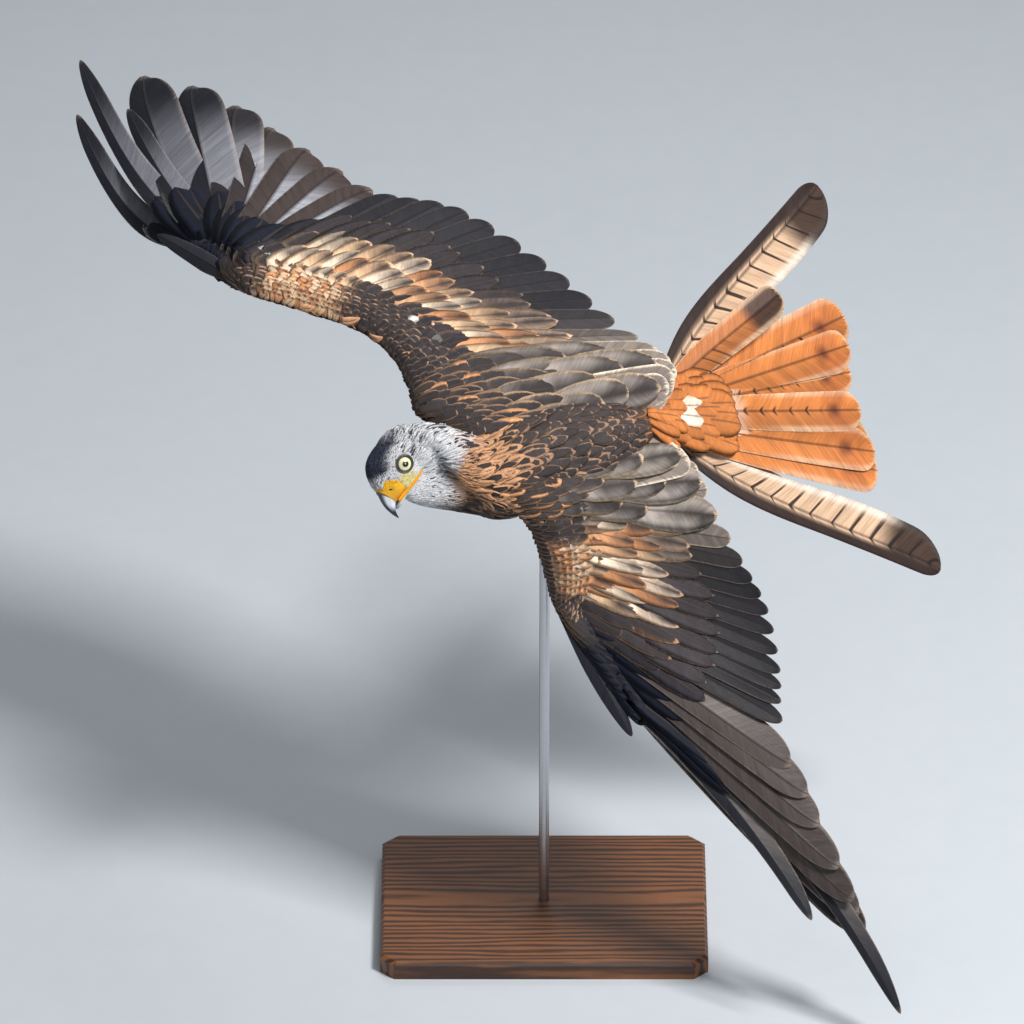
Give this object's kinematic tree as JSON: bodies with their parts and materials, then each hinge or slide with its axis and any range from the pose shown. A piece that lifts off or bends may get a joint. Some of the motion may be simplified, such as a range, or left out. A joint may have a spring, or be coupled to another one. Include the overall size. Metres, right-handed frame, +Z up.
{
  "type": "red kite bird model",
  "caption": "Life-size red kite in banked flight, wings and forked tail spread, head turned down to its left, held by a plain rod on a flat wooden base.",
  "frame": {"origin": "centre of the stand base's underside, on the floor, with the rod straight above it", "axes": "+Z up; the bird flies roughly towards -X and banks, its right wing raised and away towards +Y and its left wing low and near, towards -Y; the picture looks along +Y and 30 degrees down"},
  "size_m": [0.8534, 0.7825, 0.691],
  "materials": {
    "flight_feathers": "satin",
    "mantle_feathers": "matte",
    "head_feathers": "matte",
    "tail_feathers": "satin",
    "thigh_feathers": "matte",
    "yellow_skin": "satin",
    "horn": "satin",
    "eye": "gloss",
    "base_wood": "satin",
    "rod_metal": "satin"
  },
  "bodies": {
    "root": {"wing_right_arm": "flight_feathers", "wing_right_hand": "flight_feathers", "wing_left_arm": "flight_feathers", "wing_left_hand": "flight_feathers", "torso": "mantle_feathers", "neck": "head_feathers", "head": "head_feathers", "cere": "yellow_skin", "bill_upper": "horn", "bill_lower": "horn", "eye_right": "eye", "eye_left": "eye", "tail": "tail_feathers", "thigh_right": "thigh_feathers", "thigh_left": "thigh_feathers", "foot_right": "yellow_skin", "foot_left": "yellow_skin", "stand_base": "base_wood", "stand_rod": "rod_metal"}
  },
  "joints": []
}
